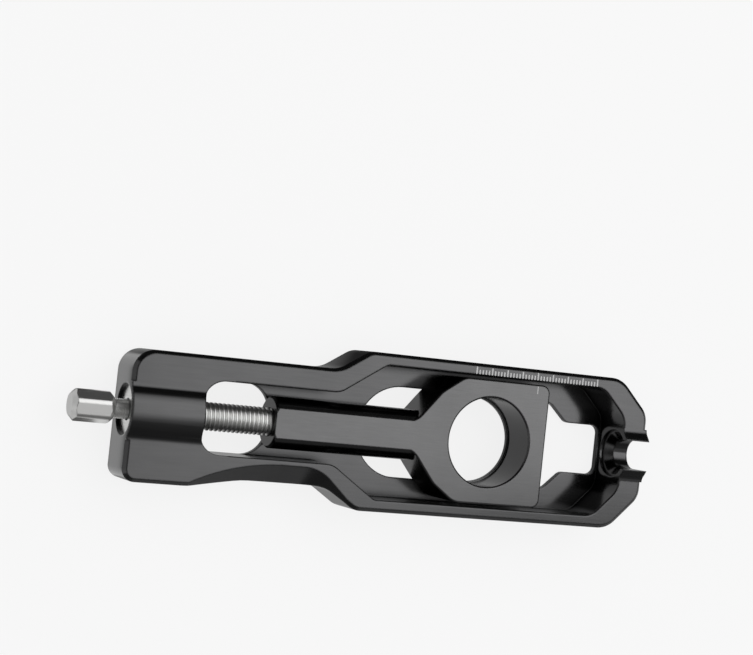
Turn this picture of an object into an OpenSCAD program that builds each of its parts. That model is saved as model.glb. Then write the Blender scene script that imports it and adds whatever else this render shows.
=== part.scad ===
// Motorcycle chain adjuster, the unit for one end of a wheel axle.
// A milled body lies flat against the swingarm. An axle block slides in its pocket,
// drawn along by a screw that is held in the end boss and turned by its hex end.
// Millimetres. X runs along the body, from the hex end to the notched end,
// Y across it towards the scale, Z from the back face to the front.
// The origin is the middle of the back, screw included.

/* [Body] */
// Length of the body without the screw
body_l = 159.3; // [156:0.1:175]
// Thickness of the body, from the back to the front face
body_t = 15; // [14.8:0.1:18]
// Height of the wide part, across the axle
wide_h = 44.4; // [43:0.1:50]
// Height of the narrow part, beside the screw
waist_h = 32.8; // [31:0.1:36]
// How far the skirt at the hex end drops below the narrow part
skirt_drop = 2.4; // [1:0.1:4]
// Distance from the hex end to where the skirt starts to rise
skirt_flat = 18.2; // [12:0.1:20]
// Distance from the hex end to where the skirt has faded out
skirt_l = 34.5; // [30:0.5:38]
// Distance from the hex end to the foot of the outer shoulders
shoulder_x = 58.5; // [56:0.1:59]
// Length of the outer shoulders along the body
shoulder_l = 9; // [8:0.1:11]
// Length of the slanted corners at the notched end, along and across
corner_cut = 9.8; // [8:0.1:10.5]
// Chamfer of the front edges
front_chamfer = 1; // [0.5:0.1:1.3]
// Chamfer of the back edges
back_chamfer = 0.4; // [0.2:0.1:0.8]
// Chamfer of the pocket's rim
rim_chamfer = 0.3; // [0.2:0.1:0.6]
// Height of the large bevel along the lower edge of the narrow part
bevel_h = 5.2; // [4:0.1:5.6]
// Sweep of the large bevel's line on its way down into the skirt
bevel_sweep = 60; // [50:1:70]
// Sweep of the large bevel's line on its way down into the shoulder
bevel_turn = 12; // [10:1:14]

/* [End boss] */
// Radius of the half round boss that holds the screw
boss_r = 8.6; // [8.4:0.1:8.9]
// Depth of the screw's axis below the front face
screw_depth = 5.4; // [5:0.1:5.8]
// Fillet between the boss and the front face
boss_fillet = 2.5; // [1.5:0.1:3]
// Diameter of the counterbore in the hex end
counterbore_d = 14; // [13.8:0.1:14.4]
// Depth of the retaining ring's face below the hex end
ring_recess = 1; // [0.5:0.1:2]

/* [Window] */
// Distance from the hex end to the window, which is the length of the boss
window_x = 20.1; // [19:0.1:21]
// Length of the window beside the screw
window_l = 23.9; // [23:0.1:26]
// Height of the window and of the channel that leads on from it
window_h = 19.8; // [19:0.1:21]
// Corner radius of the window at the boss
window_r = 6; // [3:0.1:7]
// Corner radius of the window at the channel
window_end_r = 7.5; // [6:0.1:9.4]

/* [Pocket] */
// Thickness of the floor under the axle block
floor_t = 1.8; // [1.4:0.1:1.9]
// Thickness of the side walls beside the axle block
side_wall = 3.4; // [3:0.1:4]
// Thickness of the wall at the notched end
end_wall = 7.9; // [7:0.1:9]
// Thickness of the wall at the slanted corners
corner_wall = 6.8; // [6:0.1:7.2]
// Distance from the hex end to the foot of the inner shoulders
pocket_x = 59.5; // [58.5:0.1:61]
// Length of the inner shoulders along the body
pocket_run = 13.5; // [12:0.1:14]

/* [Floor slot] */
// Height of the slot that lets the axle through the floor
slot_h = 26; // [25.9:0.1:28]
// Distance from the axle's middle, as the block stands, back to the slot's round end
slot_x = 35.5; // [34.5:0.1:37]
// Length of the slot's high part, from its round end to its shoulders
slot_l = 62; // [60:0.1:63]
// Height of the slot's tail at the notched end
tail_h = 14.8; // [12:0.1:17]
// Strip of floor between the tail and the end wall
tail_gap = 0.7; // [0.4:0.1:2]

/* [Notch] */
// Width of the notch in the end wall
notch_w = 8.6; // [8.2:0.1:9]
// Diameter of the shallow recess around the notch, inside the pocket
seat_d = 14; // [13:0.1:15]
// Depth of that recess
seat_depth = 1; // [0.6:0.1:1.5]
// Depth of the countersink inside that recess
sink_depth = 2.2; // [1:0.1:3]

/* [Axle block] */
// Distance from the body's middle to the middle of the axle hole, as the block stands
axle_x = 27.05; // [24.5:0.05:28.5]
// Diameter of the axle hole
axle_d = 25.6; // [25:0.1:25.8]
// Step that the axle hole narrows by at the back, on its radius
axle_lip = 0.5; // [0.3:0.1:0.8]
// Thickness of that step
axle_lip_t = 1.2; // [0.8:0.1:2]
// Gap between the block and each side wall
block_gap = 1; // [0.5:0.1:1.2]
// Length of the block from the axle's middle to its flat end
block_front = 18.2; // [17:0.1:20]
// Length of the block from the axle's middle to the start of its taper
block_back = 9.6; // [7:0.1:11]
// Height that the block stands proud of the front face
block_proud = 0.6; // [0.2:0.1:1]
// Chamfer around the block's front and in the mouth of the axle hole
block_chamfer = 0.4; // [0.2:0.1:0.6]
// Distance from the axle's middle to the end of the neck
neck_l = 65.6; // [64:0.1:66.5]
// Diameter of the neck, which is round with a flat in front
neck_d = 14.4; // [14:0.1:15]

/* [Screw] */
// Thread size of the screw
screw_d = 8; // [7:0.5:8]
// Distance that the screw stands out of the hex end
screw_out = 14.7; // [14.5:0.1:20]
// Width across the flats of the hex end
hex_af = 8; // [7.6:0.1:8]
// Diameter that the corners of the hex end are turned down to
hex_corner_d = 8.7; // [8.4:0.1:9.2]
// Length of the hex end
hex_l = 11.7; // [10:0.1:12.5]
// Length of the screw past the hex end of the body
screw_in = 69.5; // [67:0.1:71]
// Diameter of the screw between the hex end and the collar
relief_d = 5.4; // [5:0.1:6]
// Diameter of the screw's collar
collar_d = 12.6; // [12:0.1:13]
// Thickness of the screw's collar
collar_t = 2; // [1.6:0.1:2.4]
// Thickness of the retaining ring that keeps the collar in
ring_t = 1.6; // [1.2:0.1:2]
// Thickness of the thrust washer behind the collar
washer_t = 1; // [0.8:0.1:1.4]

/* [Hidden] */
$fn = 96;
arc_step = 6;
eps = 0.01;
cut_over = 0.5;
big = 60;
running = 0.1;
axial_play = 0.05;
ring_fit = 0.03;
hole_clear = 0.3;

// Body
body_x = -(body_l - screw_out) / 2;
axis_z = body_t - screw_depth;
wide_y = wide_h / 2;
waist_y = waist_h / 2;
skirt_y = waist_y + skirt_drop;
top_corner_r = 6;
skirt_corner_r = 3.5;
shoulder_end = shoulder_x + shoulder_l;
bevel_y = waist_y - bevel_h;
bevel_rise = 26;
bevel_fall = 42;
bevel_in_x = skirt_l + 11.2;
bevel_out_x = shoulder_x - 7.3;
bevel_steps = 10;

// Window, pocket and slot
axle_at = body_l / 2 + axle_x;
channel_y = window_h / 2;
window_end = window_x + window_l;
pocket_y = wide_y - side_wall;
pocket_end = body_l - end_wall;
pocket_cut = corner_cut - end_wall - side_wall + corner_wall * sqrt(2);
slot_y = slot_h / 2;
slot_start = axle_at - slot_x;
slot_end = slot_start + slot_l;
slot_run = 6;
tail_y = tail_h / 2;
tail_end = pocket_end - tail_gap;

// Screw and its seat
counterbore_r = counterbore_d / 2;
ring_x = ring_recess;
collar_x = ring_x + ring_t + axial_play;
washer_x = collar_x + collar_t + axial_play;
counterbore_l = washer_x + washer_t;
shank_r = screw_d / 2 - running;
hex_chamfer = 1.4;
hex_turn = 10;
hex_end_x = hex_l - screw_out;
hex_corner_r = hex_corner_d / 2;

// Axle block
block_y = pocket_y - block_gap;
block_z = floor_t + axial_play;
block_top = body_t + block_proud;
neck_r = neck_d / 2;
neck_flat_y = sqrt(neck_r * neck_r - pow(block_top - axis_z, 2));
neck_chamfer = 0.6;
flare_x = axle_d / 2 + 11.1;
flare_mid_x = axle_d / 2 + 3.7;
flare_mid_y = block_y - 4.8;
tap_end = axle_d / 2 + 3.7;

// Corner q of an outline that comes from p and goes on to s, rounded to radius r
function corner_arc(p, q, s, r) =
    let (u = (q - p) / norm(q - p), v = (s - q) / norm(s - q),
         side = sign(cross(u, v)), turn = acos(u * v),
         n = side * [-u[1], u[0]], c = q - u * r * tan(turn / 2) + n * r,
         a = atan2(-n[1], -n[0]), k = ceil(turn / arc_step))
    r == 0 ? [q] : [for (i = [0 : k]) c + r * [cos(a + side * turn * i / k), sin(a + side * turn * i / k)]];

// Outline through corners [x, y, radius], anticlockwise
function outline(c) =
    let (n = len(c))
    [for (i = [0 : n - 1])
        let (p = c[(i + n - 1) % n], q = c[i], s = c[(i + 1) % n])
        each corner_arc([p[0], p[1]], [q[0], q[1]], [s[0], s[1]], q[2])];

// The same corners with every side moved inwards by d
function inset(c, d) =
    let (n = len(c))
    [for (i = [0 : n - 1])
        let (p = c[(i + n - 1) % n], q = c[i], s = c[(i + 1) % n],
             u = [q[0] - p[0], q[1] - p[1]] / norm([q[0] - p[0], q[1] - p[1]]),
             v = [s[0] - q[0], s[1] - q[1]] / norm([s[0] - q[0], s[1] - q[1]]),
             m = [-u[1] - v[1], u[0] + v[0]] * d / (1 + u * v))
        [q[0] + m[0], q[1] + m[1], q[2] - sign(cross(u, v)) * d]];

// The corners of the upper half of an outline, mirrored to close it below
function both_halves(c) =
    let (n = len(c))
    concat([for (i = [0 : n - 1]) [c[i][0], -c[i][1], c[i][2]]],
           [for (i = [n - 1 : -1 : 0]) c[i]]);

body_corners = [
    [0, -skirt_y, skirt_corner_r], [skirt_flat, -skirt_y, 20], [skirt_l, -waist_y, 30],
    [shoulder_x, -waist_y, 8], [shoulder_end, -wide_y, 6],
    [body_l - corner_cut, -wide_y, 8], [body_l, corner_cut - wide_y, 6],
    [body_l, wide_y - corner_cut, 6], [body_l - corner_cut, wide_y, 8],
    [shoulder_end, wide_y, 6], [shoulder_x, waist_y, 8], [0, waist_y, top_corner_r]];

pocket_corners = both_halves([
    [window_x + window_r + 2, channel_y, 1], [pocket_x, channel_y, 6],
    [pocket_x + pocket_run, pocket_y, 3], [pocket_end - pocket_cut, pocket_y, 6],
    [pocket_end, pocket_y - pocket_cut, 6]]);

window_corners = both_halves([[window_x, channel_y, window_r], [window_end, channel_y, window_end_r]]);

slot_corners = both_halves([
    [slot_start + slot_y, slot_y, 0], [slot_end, slot_y, 5],
    [slot_end + slot_run, tail_y, 3], [tail_end, tail_y, 2.5]]);

block_corners = both_halves([
    [-flare_x - 6, neck_flat_y, 1.2], [-flare_x, neck_flat_y, 5.8], [-flare_mid_x, flare_mid_y, 6],
    [-block_back, block_y, 6], [block_front, block_y, 2.5]]);

// What a 45 degree chamfer of depth c takes off at the height z, around an outline or around a hole in it
module edge_cut(corners, z, c, hole = false) {
    way = hole ? -1 : 1;
    rings = [for (d = [-cut_over, c + cut_over, -cut_over]) outline(inset(corners, way * d))];
    heights = [z - c - cut_over, z + cut_over, z + cut_over];
    n = len(rings[0]);
    polyhedron([for (j = [0 : 2]) each [for (p = rings[j]) [p[0], p[1], heights[j]]]],
        [for (j = [0 : 2]) each [for (i = [0 : n - 1])
            let (a = j * n + i, b = j * n + (i + 1) % n, k = (j + 1) % 3 * n)
            hole ? [k + i, k + (i + 1) % n, b, a] : [a, b, k + (i + 1) % n, k + i]]]);
}

// Turns a shape drawn upwards so that it runs along the screw's axis from x
module along_screw(x) {
    translate([x, 0, axis_z]) rotate([90, 0, 90]) children();
}

// Half round boss around the screw's axis, with its fillets to the front face
module boss(x, l) {
    fy = sqrt(pow(boss_r + boss_fillet, 2) - pow(screw_depth + boss_fillet, 2));
    share = boss_r / (boss_r + boss_fillet);
    ty = fy * share;
    tz = (screw_depth + boss_fillet) * share;
    along_screw(x) {
        cylinder(r = boss_r, h = l);
        linear_extrude(l) difference() {
            polygon([[-fy, screw_depth - 1], [fy, screw_depth - 1], [fy, screw_depth], [ty, tz],
                     [-ty, tz], [-fy, screw_depth]]);
            for (s = [-1, 1]) translate([s * fy, screw_depth + boss_fillet]) circle(boss_fillet);
        }
    }
}

// Everything in front of a plane that falls away at 45 degrees from a line in the front face;
// the line is turned by angle and touches a circle of radius r, whose top is at x and the bevel's line
module bevel_side(x, r, angle) {
    translate([x - r * sin(angle), r * cos(angle) - r - bevel_y, body_t])
        rotate([0, 0, angle]) rotate([45, 0, 0]) translate([-big, -big, 0]) cube(2 * big);
}

// The large bevel along the lower edge, which fades out in the skirt and in the shoulder
module lower_bevel() {
    intersection() {
        intersection_for(i = [0 : bevel_steps])
            bevel_side(bevel_in_x, bevel_sweep, bevel_rise * i / bevel_steps);
        intersection_for(i = [1 : bevel_steps])
            bevel_side(bevel_out_x, bevel_turn, -bevel_fall * i / bevel_steps);
    }
}

module body() {
    color([0.16, 0.16, 0.17]) translate([body_x, 0, 0]) difference() {
        union() {
            difference() {
                linear_extrude(body_t) polygon(outline(body_corners));
                edge_cut(body_corners, body_t, front_chamfer);
                edge_cut(pocket_corners, body_t, rim_chamfer, true);
                mirror([0, 0, 1]) edge_cut(body_corners, 0, back_chamfer);
            }
            boss(0, window_x + window_r);
            boss(pocket_end - 1, end_wall + 1);
        }
        lower_bevel();
        // Window beside the screw, and the pocket with the slot in its floor
        translate([0, 0, -1]) linear_extrude(body_t + 2 * boss_r) polygon(outline(window_corners));
        translate([0, 0, floor_t]) linear_extrude(body_t + boss_r) polygon(outline(pocket_corners));
        translate([0, 0, -1]) linear_extrude(floor_t + 2) polygon(outline(slot_corners));
        translate([slot_start + slot_y, 0, -1]) cylinder(r = slot_y, h = floor_t + 2);
        // Seat of the screw
        along_screw(-1) cylinder(r = counterbore_r, h = counterbore_l + 1);
        along_screw(0) cylinder(r = screw_d / 2 + hole_clear, h = window_x + 1);
        // Notch, recess and countersink in the end wall
        along_screw(pocket_end - 1) cylinder(d = notch_w, h = end_wall + 2);
        along_screw(pocket_end - 1) cylinder(d = seat_d, h = seat_depth + 1);
        along_screw(pocket_end + seat_depth - eps)
            cylinder(r1 = notch_w / 2 + sink_depth, r2 = notch_w / 2, h = sink_depth);
        translate([pocket_end - 1, -notch_w / 2, axis_z]) cube([end_wall + 2, notch_w, big]);
    }
}

module axle_block() {
    color([0.17, 0.17, 0.18]) translate([body_x + axle_at, 0, 0]) difference() {
        union() {
            difference() {
                translate([0, 0, block_z]) linear_extrude(block_top - block_z) polygon(outline(block_corners));
                edge_cut(block_corners, block_top, block_chamfer);
            }
            intersection() {
                along_screw(-neck_l) {
                    cylinder(r1 = neck_r - neck_chamfer, r2 = neck_r, h = neck_chamfer);
                    translate([0, 0, neck_chamfer])
                        cylinder(r = neck_r, h = neck_l - neck_chamfer - flare_mid_x + 2);
                }
                translate([-neck_l - 1, -neck_r, 0]) cube([neck_l, neck_d, block_top]);
            }
        }
        translate([0, 0, block_z + axle_lip_t]) cylinder(d = axle_d, h = big);
        translate([0, 0, block_top - block_chamfer])
            cylinder(r1 = axle_d / 2, r2 = axle_d / 2 + 2 * block_chamfer, h = 2 * block_chamfer);
        translate([0, 0, -1]) cylinder(r = axle_d / 2 - axle_lip, h = big);
        along_screw(-neck_l - 1) cylinder(d = screw_d, h = neck_l + 1 - tap_end);
    }
}

module adjuster_screw() {
    color([0.78, 0.78, 0.76]) translate([body_x, 0, 0]) {
        // Hex end, with its corners turned down and a chamfer at both ends
        intersection() {
            along_screw(-screw_out) rotate([0, 0, hex_turn]) cylinder(d = hex_af / cos(30), h = hex_l, $fn = 6);
            along_screw(-screw_out) {
                cylinder(r1 = hex_corner_r - hex_chamfer, r2 = hex_corner_r, h = hex_chamfer);
                translate([0, 0, hex_chamfer]) cylinder(r = hex_corner_r, h = hex_l - 2 * hex_chamfer);
                translate([0, 0, hex_l - hex_chamfer])
                    cylinder(r1 = hex_corner_r, r2 = hex_corner_r - hex_chamfer, h = hex_chamfer);
            }
        }
        along_screw(hex_end_x - 1) cylinder(d = relief_d, h = collar_x + 2 - hex_end_x);
        along_screw(collar_x) cylinder(r = shank_r, h = screw_in - 1 - collar_x);
        along_screw(screw_in - 1) cylinder(r1 = shank_r, r2 = shank_r - 1, h = 1);
        along_screw(collar_x) cylinder(d = collar_d, h = collar_t);
    }
}

// A flat ring around the screw
module flat_ring(x, outer_r, inner_r, t) {
    translate([body_x, 0, 0]) along_screw(x) difference() {
        cylinder(r = outer_r, h = t);
        translate([0, 0, -1]) cylinder(r = inner_r, h = t + 2);
    }
}

module thrust_washer() {
    color([0.72, 0.72, 0.7]) flat_ring(washer_x, collar_d / 2, screw_d / 2 + hole_clear, washer_t);
}

module retaining_ring() {
    color([0.82, 0.82, 0.8]) flat_ring(ring_x, counterbore_r - ring_fit, relief_d / 2 + hole_clear, ring_t);
}

body();
axle_block();
adjuster_screw();
thrust_washer();
retaining_ring();
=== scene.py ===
"""Looks of the motorcycle chain adjuster: black anodised body and axle block, bright steel screw.

The frame is the CAD's: X from the hex end to the notched end, Y across the body towards the scale,
Z from the back to the front face. The unit lies on its back on the floor. Places on the part are in
millimetres; the camera's clipping, the materials, the floor and the lights are in metres.
"""
import math

import bmesh
import bpy
import numpy as np
from mathutils import Matrix, Vector


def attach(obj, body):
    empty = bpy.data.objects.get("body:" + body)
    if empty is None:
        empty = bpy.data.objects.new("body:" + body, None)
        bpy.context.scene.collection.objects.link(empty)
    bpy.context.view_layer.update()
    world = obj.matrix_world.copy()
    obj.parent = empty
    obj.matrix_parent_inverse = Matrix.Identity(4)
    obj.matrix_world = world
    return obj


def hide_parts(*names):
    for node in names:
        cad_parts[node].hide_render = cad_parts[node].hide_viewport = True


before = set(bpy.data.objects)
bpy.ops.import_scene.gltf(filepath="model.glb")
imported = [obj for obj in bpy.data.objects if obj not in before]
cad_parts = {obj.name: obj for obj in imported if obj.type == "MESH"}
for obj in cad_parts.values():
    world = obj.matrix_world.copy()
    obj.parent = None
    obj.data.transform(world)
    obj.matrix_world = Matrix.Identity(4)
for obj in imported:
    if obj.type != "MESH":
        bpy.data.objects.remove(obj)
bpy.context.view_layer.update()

MM = 0.001
TURN = 2 * math.pi

# Places on the part, as the CAD has them
AXIS_Z = 9.6             # height of the screw's axis
FRONT_Z = 15.0           # front face of the body
BLOCK_Z = 15.6           # front face of the axle block
RIM_Y = 18.8             # inner edge of the upper rim
AXLE_X = 34.4            # middle of the axle hole
BLOCK_TOP_Y = 17.8       # upper edge of the axle block


# Camera: a pinhole with its centre and turn fitted to the photograph
CAMERA_TURN = (24.24, -1.15, -6.08)      # yaw, pitch and roll in degrees
CAMERA_SHIFT = (31.97, -32.8, 0.0)       # the axle hole's place in the picture's axes
CAMERA_DISTANCE = 522.24
FOCAL_PIXELS, PICTURE_WIDTH, SENSOR_WIDTH = 1827.77, 753, 36.0


def place_camera():
    """The camera at the photograph's viewpoint; its turn takes the part's axes to the picture's."""
    yaw, pitch, roll = (math.radians(angle) for angle in CAMERA_TURN)
    spin = (Matrix.Rotation(roll, 3, "Z") @ Matrix.Rotation(pitch, 3, "X")
            @ Matrix.Rotation(yaw, 3, "Y"))
    back = spin.transposed()
    centre = (back @ (Vector((0, 0, CAMERA_DISTANCE)) - Vector(CAMERA_SHIFT))
              + Vector((AXLE_X, 0, FRONT_Z)))
    camera = bpy.data.objects.new("camera", bpy.data.cameras.new("camera"))
    camera.matrix_world = Matrix.Translation(centre * MM) @ back.to_4x4()
    camera.data.sensor_width = SENSOR_WIDTH
    camera.data.lens = SENSOR_WIDTH * FOCAL_PIXELS / PICTURE_WIDTH
    camera.data.clip_start, camera.data.clip_end = 0.01, 20.0
    bpy.context.scene.collection.objects.link(camera)
    bpy.context.scene.camera = camera


place_camera()


# Node helpers
def wire(tree, source, target):
    """A link from an output socket to an input socket."""
    tree.links.new(source, target)


def node(tree, kind, **values):
    """A shader node; each value sets the property of that name, or else the input of that name."""
    made = tree.nodes.new(kind)
    for key, value in values.items():
        if hasattr(made, key):
            setattr(made, key, value)
        else:
            made.inputs[key.replace("_", " ")].default_value = value
    return made


def step_along(tree, source, low, high, value_low, value_high):
    """A value that runs straight from value_low at low to value_high at high, level outside."""
    ramp = node(tree, "ShaderNodeMapRange", From_Min=low, From_Max=high,
                To_Min=value_low, To_Max=value_high)
    wire(tree, source, ramp.inputs["Value"])
    return ramp.outputs["Result"]


def of_two(operation):
    """A function that joins two values of a node tree with a Math operation."""
    def join(tree, first, second):
        made = node(tree, "ShaderNodeMath", operation=operation)
        wire(tree, first, made.inputs[0])
        wire(tree, second, made.inputs[1])
        return made.outputs["Value"]
    return join


times, largest = of_two("MULTIPLY"), of_two("MAXIMUM")


def object_place(tree):
    """The place's X and Y in the object's own frame."""
    place = node(tree, "ShaderNodeTexCoord")
    split = node(tree, "ShaderNodeSeparateXYZ")
    wire(tree, place.outputs["Object"], split.inputs["Vector"])
    return split.outputs["X"], split.outputs["Y"]


def new_group(name, inputs, outputs):
    """An empty node group; inputs are (name, value) floats, and outputs the names of floats."""
    tree = bpy.data.node_groups.new(name, "ShaderNodeTree")
    for key, value in inputs:
        socket = tree.interface.new_socket(key, in_out="INPUT", socket_type="NodeSocketFloat")
        socket.default_value = value
    for key in outputs:
        tree.interface.new_socket(key, in_out="OUTPUT", socket_type="NodeSocketFloat")
    return tree, tree.nodes.new("NodeGroupInput"), tree.nodes.new("NodeGroupOutput")


# Materials
STREAK_STRETCH = 0.05    # scale of the streaks along X, as a share of that across
RELIEF_HEIGHT = 0.00002  # height of the streaks
# Painted shade: the colour is darkened in narrow gaps and inner corners, by how open each place is
GAP_SHADE_OPEN = (0.45, 0.9)   # how open a place is to its surroundings, from deep in a gap to free
GAP_SHADE_SHARE = 0.2          # share of the colour left deep in a gap
SHADE_SAMPLES = 6


def milled_grain_group():
    """Fine streaks of a milled face along X, and their mix with a slow blotchy change."""
    tree, given, result = new_group(
        "milled_grain", [("Streak Scale", 900.0), ("Cloud Scale", 60.0), ("Cloud Share", 0.4)],
        ["Streaks", "Mix"])
    place = node(tree, "ShaderNodeTexCoord")
    stretch = node(tree, "ShaderNodeMapping", Scale=(STREAK_STRETCH, 1.0, 1.0))
    streaks = node(tree, "ShaderNodeTexNoise", Detail=3.0, Roughness=0.6)
    clouds = node(tree, "ShaderNodeTexNoise", Detail=4.0, Roughness=0.55)
    wire(tree, place.outputs["Object"], stretch.inputs["Vector"])
    wire(tree, stretch.outputs["Vector"], streaks.inputs["Vector"])
    wire(tree, given.outputs["Streak Scale"], streaks.inputs["Scale"])
    wire(tree, place.outputs["Object"], clouds.inputs["Vector"])
    wire(tree, given.outputs["Cloud Scale"], clouds.inputs["Scale"])
    blend = node(tree, "ShaderNodeMix", data_type="FLOAT")
    wire(tree, given.outputs["Cloud Share"], blend.inputs["Factor"])
    wire(tree, streaks.outputs["Fac"], blend.inputs["A"])
    wire(tree, clouds.outputs["Fac"], blend.inputs["B"])
    wire(tree, streaks.outputs["Fac"], result.inputs["Streaks"])
    wire(tree, blend.outputs["Result"], result.inputs["Mix"])
    return tree


GRAIN = milled_grain_group()


def painted_gap_shade(tree, colour, reach):
    """The colour with painted shade: darkened where faces within the reach close the place in."""
    opening = node(tree, "ShaderNodeAmbientOcclusion", samples=SHADE_SAMPLES, Distance=reach)
    shaded_colour = node(tree, "ShaderNodeMix", data_type="RGBA", blend_type="MULTIPLY", Factor=1.0)
    wire(tree, colour, shaded_colour.inputs["A"])
    wire(tree, step_along(tree, opening.outputs["AO"], *GAP_SHADE_OPEN, GAP_SHADE_SHARE, 1.0),
         shaded_colour.inputs["B"])
    return shaded_colour.outputs["Result"]


def metal(name, dark, light, rough, grain, bump=0.0, broken_edge=0.0, gap_shade_reach=0.0, metallic=1.0):
    """A metal whose colour runs between dark and light, and its roughness over a range, with the
    grain. The grain is its streak scale, cloud scale and cloud share, and bump is how strongly the
    streaks stand out. The broken edge is the radius to which edges and inner corners are rounded in
    the shading, and the gap reach is how near faces must lie for painted shade to darken a gap."""
    material = bpy.data.materials.new(name)
    material.use_nodes = True
    tree = material.node_tree
    shader = tree.nodes["Principled BSDF"]
    shader.inputs["Metallic"].default_value = metallic
    pattern = node(tree, "ShaderNodeGroup", node_tree=GRAIN)
    for key, value in zip(("Streak Scale", "Cloud Scale", "Cloud Share"), grain):
        pattern.inputs[key].default_value = value
    tint = node(tree, "ShaderNodeMix", data_type="RGBA", A=(*dark, 1), B=(*light, 1))
    wire(tree, pattern.outputs["Mix"], tint.inputs["Factor"])
    colour = tint.outputs["Result"]
    # Painted shade: the colour is darkened in narrow gaps and inner corners
    if gap_shade_reach:
        colour = painted_gap_shade(tree, colour, gap_shade_reach)
    wire(tree, colour, shader.inputs["Base Color"])
    wire(tree, step_along(tree, pattern.outputs["Mix"], 0.0, 1.0, *rough),
         shader.inputs["Roughness"])
    if bump:
        relief = node(tree, "ShaderNodeBump", Strength=bump, Distance=RELIEF_HEIGHT)
        wire(tree, pattern.outputs["Streaks"], relief.inputs["Height"])
        if broken_edge:
            rounded = node(tree, "ShaderNodeBevel", samples=SHADE_SAMPLES, Radius=broken_edge)
            wire(tree, rounded.outputs["Normal"], relief.inputs["Normal"])
        wire(tree, relief.outputs["Normal"], shader.inputs["Normal"])
    return material


# The body's colour carries painted shade in its narrow gaps and inner corners
BODY_FINISH = metal("anodised_body", (0.052, 0.052, 0.053), (0.098, 0.098, 0.099), (0.12, 0.19),
                    (2500.0, 45.0, 0.5), bump=0.12, broken_edge=0.0006, gap_shade_reach=0.003)
BLOCK_FINISH = metal("anodised_block", (0.066, 0.066, 0.067), (0.128, 0.128, 0.129), (0.13, 0.2),
                     (3200.0, 60.0, 0.5), bump=0.12, broken_edge=0.0004)
BRIGHT_STEEL = metal("bright_steel", (0.64, 0.64, 0.63), (0.74, 0.74, 0.73), (0.28, 0.36),
                     (1800.0, 120.0, 0.4), bump=0.08)
WASHER_STEEL = metal("washer_steel", (0.38, 0.38, 0.37), (0.5, 0.5, 0.49), (0.3, 0.45),
                     (1500.0, 150.0, 0.5), bump=0.1)
RING_STEEL = metal("ring_steel", (0.6, 0.6, 0.59), (0.76, 0.76, 0.75), (0.18, 0.3),
                   (1500.0, 150.0, 0.4), bump=0.1)
TICK_PAINT = metal("engraved_tick", (0.33, 0.33, 0.33), (0.47, 0.47, 0.47), (0.45, 0.6),
                   (4000.0, 900.0, 0.6), metallic=0.0)


def give(piece, material):
    """The material as the piece's only one."""
    piece.data.materials.clear()
    piece.data.materials.append(material)


for name, material in (("body", BODY_FINISH), ("axle_block", BLOCK_FINISH),
                       ("adjuster_screw", BRIGHT_STEEL), ("thrust_washer", WASHER_STEEL),
                       ("retaining_ring", RING_STEEL)):
    give(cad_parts[name], material)


# Meshes from arrays
def add_mesh(name, points, faces, body, material, smooth=True):
    """A piece from points in millimetres and a face array, riding on a body of the part."""
    mesh = bpy.data.meshes.new(name)
    mesh.from_pydata((np.asarray(points) * MM).tolist(), [], np.asarray(faces).tolist())
    mesh.validate()
    mesh.polygons.foreach_set("use_smooth", np.full(len(mesh.polygons), smooth))
    mesh.update()
    piece = bpy.data.objects.new(name, mesh)
    bpy.context.scene.collection.objects.link(piece)
    piece.data.materials.append(material)
    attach(piece, body)
    return piece


def tube_faces(rows, columns, helix):
    """Quads between neighbouring points of a closed tube of rows by columns. Between the rows
    helix[0] and helix[1] the last column joins the first helix[2] rows further on, because there
    each row is one turn of a helix."""
    row, column = np.meshgrid(np.arange(rows), np.arange(columns), indexing="ij")
    first, last, turn = helix
    wound = (column == columns - 1) & (row >= first) & (row <= last)
    next_row = np.where(wound, np.minimum(row + turn, last), row)
    here = row * columns + column
    after = next_row * columns + (column + 1) % columns
    return np.stack([here[:-1], after[:-1], after[1:], here[1:]], axis=-1).reshape(-1, 4)


# Screw: one closed surface, a radius over the place along X and the angle about the axis
HEX_AF, HEX_CORNER_R, HEX_START, HEX_END = 8.0, 4.35, -87.0, -75.3
HEX_TURN, HEX_CHAMFER = math.radians(10), 1.4
HEX_CHAMFER_ROWS, HEX_EDGE_ROW = 13, 0.04     # rows of a chamfer, and one just beyond it
RELIEF_R, RELIEF_ROWS = 2.7, 80
GROOVE_DEPTH, GROOVE_PITCH = 0.05, 0.55       # half the depth of the relief's turned grooves
COLLAR_START, COLLAR_END, COLLAR_R, COLLAR_EDGE = -69.65, -67.65, 6.3, 0.15
THREAD_START, THREAD_END, THREAD_R, ROOT_R, PITCH = -66.15, -2.8, 3.88, 3.26, 1.25
FLANK_SLOPE, ROOT_FLAT = 1.6, 0.2             # steepness of the tooth, and its cut at the root
TIP_CHAMFER = 0.4
ROWS_A_TURN, COLUMNS = 14, 96
MERGE_DISTANCE = 1e-7                         # in metres, for the points on the axis
SHARP_EDGE = math.radians(34)                 # a larger angle between faces is drawn as an edge


def hexagon_radius(angle, across_flats):
    """Distance from a hexagon's middle to its side at an angle; corners at every 60 degrees."""
    return across_flats / 2 / np.cos(angle % (TURN / 6) - TURN / 12)


def hex_end_radius(x, angle):
    """The hexagon with its corners turned down, and a chamfer of 45 degrees at each end."""
    side = np.minimum(hexagon_radius(angle - HEX_TURN, HEX_AF), HEX_CORNER_R)
    from_end = np.minimum(x - HEX_START, HEX_END - x)
    return np.minimum(side, HEX_CORNER_R - HEX_CHAMFER + from_end)


def relief_radius(x):
    """The relief between the hex end and the collar, with grooves left by turning."""
    return RELIEF_R - GROOVE_DEPTH + GROOVE_DEPTH * np.cos(TURN * x / GROOVE_PITCH)


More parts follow.
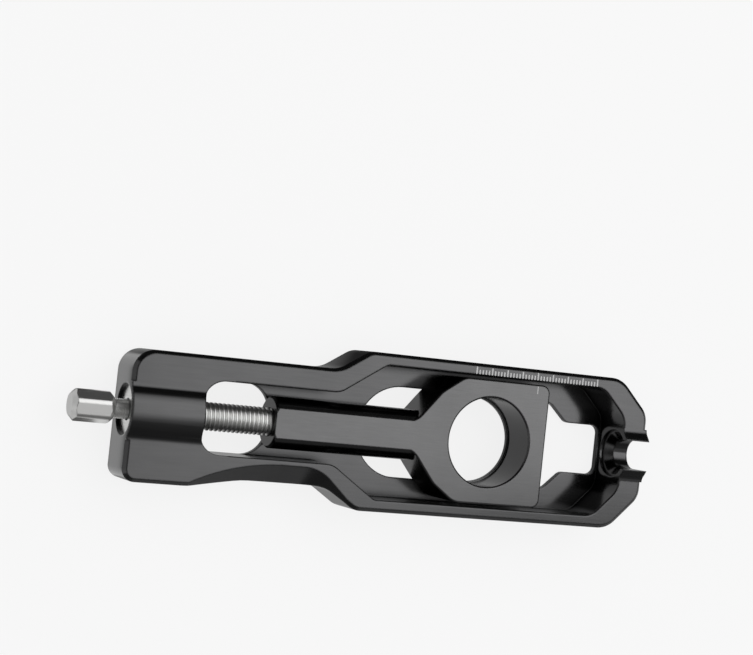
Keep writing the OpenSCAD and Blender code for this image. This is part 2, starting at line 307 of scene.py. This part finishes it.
def thread_radius(x, angle):
    """A right-hand thread: a tooth with a narrow flat crest and root over the phase
    x / pitch - angle / turn. It runs out over one pitch at both ends."""
    phase = (x / PITCH - angle / TURN) % 1.0
    tooth = np.clip(FLANK_SLOPE * (1 - np.abs(2 * phase - 1)) - ROOT_FLAT, 0, 1)
    fade = np.clip(np.minimum((x - THREAD_START) / PITCH, (THREAD_END - x) / PITCH), 0, 1)
    return ROOT_R + (THREAD_R - ROOT_R) * tooth * fade


def make_screw():
    """The screw from its hex end to its tip, x and radius as grids of rows by columns. Two rows at
    the same x make a step. In the thread each row winds round the axis with the tooth."""
    angle = HEX_TURN + np.linspace(0, TURN, COLUMNS, endpoint=False)[None, :]
    zones = []

    def zone(x, radius):
        x = np.asarray(x, float)[:, None] + 0 * angle
        zones.append((x, radius(x) + 0 * x))

    near = np.append(np.linspace(0, HEX_CHAMFER, HEX_CHAMFER_ROWS), HEX_CHAMFER + HEX_EDGE_ROW)
    zone([HEX_START], lambda x: 0.0)
    zone(np.concatenate([HEX_START + near, HEX_END - near[::-1]]),
         lambda x: hex_end_radius(x, angle))
    zone(np.linspace(HEX_END, COLLAR_START, RELIEF_ROWS), relief_radius)
    edge = COLLAR_R - COLLAR_EDGE
    zone([COLLAR_START, COLLAR_START + COLLAR_EDGE, COLLAR_END - COLLAR_EDGE, COLLAR_END],
         lambda x: np.array([[edge], [COLLAR_R], [COLLAR_R], [edge]]))
    zone([COLLAR_END, THREAD_START], lambda x: ROOT_R)

    first = sum(len(x) for x, radius in zones)
    turns = (THREAD_END - THREAD_START) / PITCH + 1
    row = np.arange(math.ceil(turns * ROWS_A_TURN) + 1)[:, None]
    wound = THREAD_START + PITCH * (row / ROWS_A_TURN - 1 + (angle - HEX_TURN) / TURN)
    wound = np.clip(wound, THREAD_START, THREAD_END)
    zones.append((wound, thread_radius(wound, angle)))
    zone([THREAD_END, THREAD_END], lambda x: np.array([[ROOT_R - TIP_CHAMFER], [0.0]]))

    x, radius = (np.vstack(grids) for grids in zip(*zones))
    points = np.stack([x, radius * np.cos(angle), AXIS_Z + radius * np.sin(angle)], axis=-1)
    faces = tube_faces(*radius.shape, (first, first + len(row) - 1, ROWS_A_TURN))
    piece = add_mesh("threaded_screw", points.reshape(-1, 3), faces,
                     "screw", BRIGHT_STEEL)
    work = bmesh.new()
    work.from_mesh(piece.data)
    bmesh.ops.remove_doubles(work, verts=work.verts, dist=MERGE_DISTANCE)
    bmesh.ops.recalc_face_normals(work, faces=work.faces)
    work.to_mesh(piece.data)
    work.free()
    piece.data.set_sharp_from_angle(angle=SHARP_EDGE)
    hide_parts("adjuster_screw")


make_screw()


# Scale on the upper rim: a tick every millimetre, longer at every fifth, and a little longer still
# at the first, the middle and the last; and the block's index mark
TICKS, TICK_FIRST, TICK_START_Y, TICK_WIDTH = 41, AXLE_X - 6.0, RIM_Y + 0.32, 0.42
TICK_LENGTH, FIFTH_LENGTH, MAIN_LENGTH = 1.25, 1.95, 2.05
INDEX_X, INDEX_LOW_Y, INDEX_HIGH_Y = AXLE_X + 14.0, BLOCK_TOP_Y - 2.6, BLOCK_TOP_Y - 0.5
INDEX_WIDTH = 0.25
MARK_PROUD, MARK_SUNK = 0.02, 0.1             # above and below the face that a mark lies on


def mark(x, y_low, y_high, z, width):
    """A flat four-sided mark on the face at z, as eight points and six faces."""
    low = (x - width / 2, y_low, z - MARK_SUNK)
    high = (x + width / 2, y_high, z + MARK_PROUD)
    points = [(a, b, c) for c in (low[2], high[2]) for a, b in
              ((low[0], low[1]), (high[0], low[1]), (high[0], high[1]), (low[0], high[1]))]
    faces = [(3, 2, 1, 0), (4, 5, 6, 7), (0, 1, 5, 4), (1, 2, 6, 5), (2, 3, 7, 6), (3, 0, 4, 7)]
    return points, faces


def make_scale():
    """All the ticks of the scale as one piece."""
    points, faces = [], []
    for i in range(TICKS):
        length = MAIN_LENGTH if i % 20 == 0 else FIFTH_LENGTH if i % 5 == 0 else TICK_LENGTH
        tick_points, tick_faces = mark(TICK_FIRST + i, TICK_START_Y, TICK_START_Y + length,
                                       FRONT_Z, TICK_WIDTH)
        faces += [tuple(corner + len(points) for corner in face) for face in tick_faces]
        points += tick_points
    add_mesh("scale_ticks", points, faces, "frame", TICK_PAINT, smooth=False)


def make_index():
    """The index mark on the axle block, in line with the middle of the scale."""
    points, faces = mark(INDEX_X, INDEX_LOW_Y, INDEX_HIGH_Y, BLOCK_Z, INDEX_WIDTH)
    add_mesh("index_mark", points, faces, "block", TICK_PAINT, smooth=False)


make_scale()
make_index()


# Floor, lights and world. A ramp is two places and the values at them.
FLOOR_HALF, FLOOR_DROP = 3.0, 0.00005
FLOOR_MATT, FLOOR_GLOW = 0.08, 0.838          # what the camera sees
FLOOR_MIRRORED = 0.42                         # and from here on what the metal mirrors
FLOOR_SIDE_RAMP = (0.014, 0.024, FLOOR_MIRRORED, FLOOR_MIRRORED / 10)     # along Y
FLOOR_HEX_RAMP = (-0.080, -0.066, 0.2, 1.0)                               # along X
CARD_LIGHT = 0.85
CARD_START_RAMP = (-0.0772, -0.0757, 0.0, CARD_LIGHT)                     # along X
CARD_END_RAMP = (-0.071, -0.069, 1.0, 0.0)                                # along X
CARD_SIDE_RAMP = (0.0195, 0.021, 1.0, 0.0)                                # along Y
PATCH_LIGHT = 0.62
PATCH_RAMP = (-0.0885, -0.0865, PATCH_LIGHT, 0.0)                         # along X

SOFTBOX_LOW, SOFTBOX_HIGH, SOFTBOX_Z, SOFTBOX_LEVEL = (-0.3, -0.7), (1.3, 2.6), 1.0, 2.1
SOFTBOX_LEFT_RAMP = (-0.05, 0.25, 0.0, 0.85)                              # along X
SOFTBOX_MIDDLE_RAMP = (0.25, 0.70, 1.0, 1.2)                              # along X
SOFTBOX_RIGHT_RAMP = (0.80, 1.2, 1.0, 0.0)                                # along X
SOFTBOX_FAR_RAMP = (0.75, 2.3, SOFTBOX_LEVEL, 0.0)                        # along Y
NEAR_EDGE_START = (0.22, 0.57, -0.60, -0.100)   # over X, the Y where the near edge starts
NEAR_EDGE_END = (0.22, 0.57, 0.0, -0.080)       # over X, the Y where it has reached full light
NEAR_EDGE_SHARE = 0.12                          # share of the light before its start

SKY_MATT, SKY_SHOWN = 0.85, 0.92
SKY_SIDE_RAMP = (-0.35, 0.1, 0.22, 0.04)        # what the metal mirrors, along Y
SKY_FAR_RAMP = (-0.95, -0.5, 0.5, 1.0)          # and a fade at the far low Y side


def seen_directly(tree, glossy=True):
    """The ray node, and 1 for rays from the camera and through glass, and with glossy also for
    reflections."""
    rays = node(tree, "ShaderNodeLightPath")
    total = largest(tree, rays.outputs["Is Camera Ray"], rays.outputs["Is Transmission Ray"])
    if glossy:
        total = largest(tree, total, rays.outputs["Is Glossy Ray"])
    return rays, total


def blank_material(name):
    """A material without nodes, and its node tree."""
    material = bpy.data.materials.new(name)
    material.use_nodes = True
    material.node_tree.nodes.clear()
    return material, material.node_tree


def sum_to_output(tree, first, second):
    """The sum of two shaders as the tree's surface."""
    both = node(tree, "ShaderNodeAddShader")
    out = node(tree, "ShaderNodeOutputMaterial")
    wire(tree, first, both.inputs[0])
    wire(tree, second, both.inputs[1])
    wire(tree, both.outputs["Shader"], out.inputs["Surface"])


def add_sheet(name, corners, z, material):
    """A level sheet with the given corners at height z."""
    mesh = bpy.data.meshes.new(name)
    mesh.from_pydata([(x, y, z) for x, y in corners], [], [(0, 1, 2, 3)])
    sheet = bpy.data.objects.new(name, mesh)
    bpy.context.scene.collection.objects.link(sheet)
    sheet.data.materials.append(material)
    return sheet


def make_floor():
    """A wide pale floor that shows its own colour with the part's shadow. What the metal mirrors of
    it is dim, darker under the high Y side and under the hex end, with a bright card under the
    body's end and a lit patch beyond the hex."""
    material, tree = blank_material("pale_floor")
    matt = node(tree, "ShaderNodeBsdfDiffuse")
    glow = node(tree, "ShaderNodeEmission", Color=(1, 1, 1, 1))
    rays, direct = seen_directly(tree)
    grey = node(tree, "ShaderNodeMix", data_type="RGBA",
                A=(FLOOR_MATT, FLOOR_MATT, FLOOR_MATT, 1), B=(0, 0, 0, 1))
    wire(tree, rays.outputs["Is Glossy Ray"], grey.inputs["Factor"])
    wire(tree, grey.outputs["Result"], matt.inputs["Color"])
    along, across = object_place(tree)
    sides = times(tree, step_along(tree, across, *FLOOR_SIDE_RAMP),
                  step_along(tree, along, *FLOOR_HEX_RAMP))
    card = times(tree, step_along(tree, along, *CARD_START_RAMP),
                 step_along(tree, along, *CARD_END_RAMP))
    card = times(tree, card, step_along(tree, across, *CARD_SIDE_RAMP))
    patch = step_along(tree, along, *PATCH_RAMP)
    strength = node(tree, "ShaderNodeMix", data_type="FLOAT", A=FLOOR_GLOW)
    wire(tree, rays.outputs["Is Glossy Ray"], strength.inputs["Factor"])
    wire(tree, largest(tree, largest(tree, sides, card), patch), strength.inputs["B"])
    wire(tree, times(tree, strength.outputs["Result"], direct), glow.inputs["Strength"])
    sum_to_output(tree, matt.outputs["BSDF"], glow.outputs["Emission"])
    half = FLOOR_HALF
    corners = [(-half, -half), (half, -half), (half, half), (-half, half)]
    add_sheet("floor", corners, -FLOOR_DROP, material)


def make_softbox():
    """A broad soft light level above the part. It is full where the front faces mirror the camera
    to, and fades slowly on the high Y side. On the low Y side it fades slowly over the hex end and
    quickly over the notched end."""
    material, tree = blank_material("softbox_cloth")
    along, across = object_place(tree)
    near_edge = node(tree, "ShaderNodeMapRange", To_Min=NEAR_EDGE_SHARE, To_Max=1.0)
    wire(tree, across, near_edge.inputs["Value"])
    wire(tree, step_along(tree, along, *NEAR_EDGE_START), near_edge.inputs["From Min"])
    wire(tree, step_along(tree, along, *NEAR_EDGE_END), near_edge.inputs["From Max"])
    level = near_edge.outputs["Result"]
    for source, ramp in ((across, SOFTBOX_FAR_RAMP), (along, SOFTBOX_LEFT_RAMP),
                         (along, SOFTBOX_MIDDLE_RAMP), (along, SOFTBOX_RIGHT_RAMP)):
        level = times(tree, level, step_along(tree, source, *ramp))
    cloth = node(tree, "ShaderNodeEmission")
    clear = node(tree, "ShaderNodeBsdfTransparent")
    wire(tree, level, cloth.inputs["Strength"])
    sum_to_output(tree, cloth.outputs["Emission"], clear.outputs["BSDF"])
    low, high = SOFTBOX_LOW, SOFTBOX_HIGH
    corners = [low, (low[0], high[1]), high, (high[0], low[1])]
    add_sheet("softbox", corners, SOFTBOX_Z, material)


def soft_lamp(name, place, turn, size, radiance):
    """A rectangular area lamp of the given radiance. It faces down, and is then turned by turn
    degrees about X, Y and Z."""
    lamp = bpy.data.lights.new(name, "AREA")
    lamp.shape, lamp.size, lamp.size_y = "RECTANGLE", size[0], size[1]
    lamp.energy = radiance * math.pi * size[0] * size[1]
    thing = bpy.data.objects.new(name, lamp)
    thing.location = place
    thing.rotation_euler = [math.radians(angle) for angle in turn]
    bpy.context.scene.collection.objects.link(thing)


def make_world():
    """Pale to the camera, an even sky to matt surfaces, and to the metal a dim room, lighter on its
    low Y side."""
    world = bpy.data.worlds.new("studio")
    world.use_nodes = True
    tree = world.node_tree
    sky = tree.nodes["Background"]
    sky.inputs["Color"].default_value = (1, 1, 1, 1)
    rays, direct = seen_directly(tree, glossy=False)
    toward = node(tree, "ShaderNodeTexCoord")
    split = node(tree, "ShaderNodeSeparateXYZ")
    wire(tree, toward.outputs["Generated"], split.inputs["Vector"])
    room = times(tree, step_along(tree, split.outputs["Y"], *SKY_SIDE_RAMP),
                 step_along(tree, split.outputs["Y"], *SKY_FAR_RAMP))
    dim = node(tree, "ShaderNodeMix", data_type="FLOAT", A=SKY_MATT)
    wire(tree, room, dim.inputs["B"])
    wire(tree, rays.outputs["Is Glossy Ray"], dim.inputs["Factor"])
    shown = node(tree, "ShaderNodeMix", data_type="FLOAT", B=SKY_SHOWN)
    wire(tree, direct, shown.inputs["Factor"])
    wire(tree, dim.outputs["Result"], shown.inputs["A"])
    wire(tree, shown.outputs["Result"], sky.inputs["Strength"])
    bpy.context.scene.world = world


make_floor()
make_world()
make_softbox()
soft_lamp("end_lamp", place=(-0.9, 0.0, 0.27), turn=(0, -78, 0), size=(0.55, 1.3), radiance=0.5)

bpy.context.scene.view_settings.view_transform = "Standard"
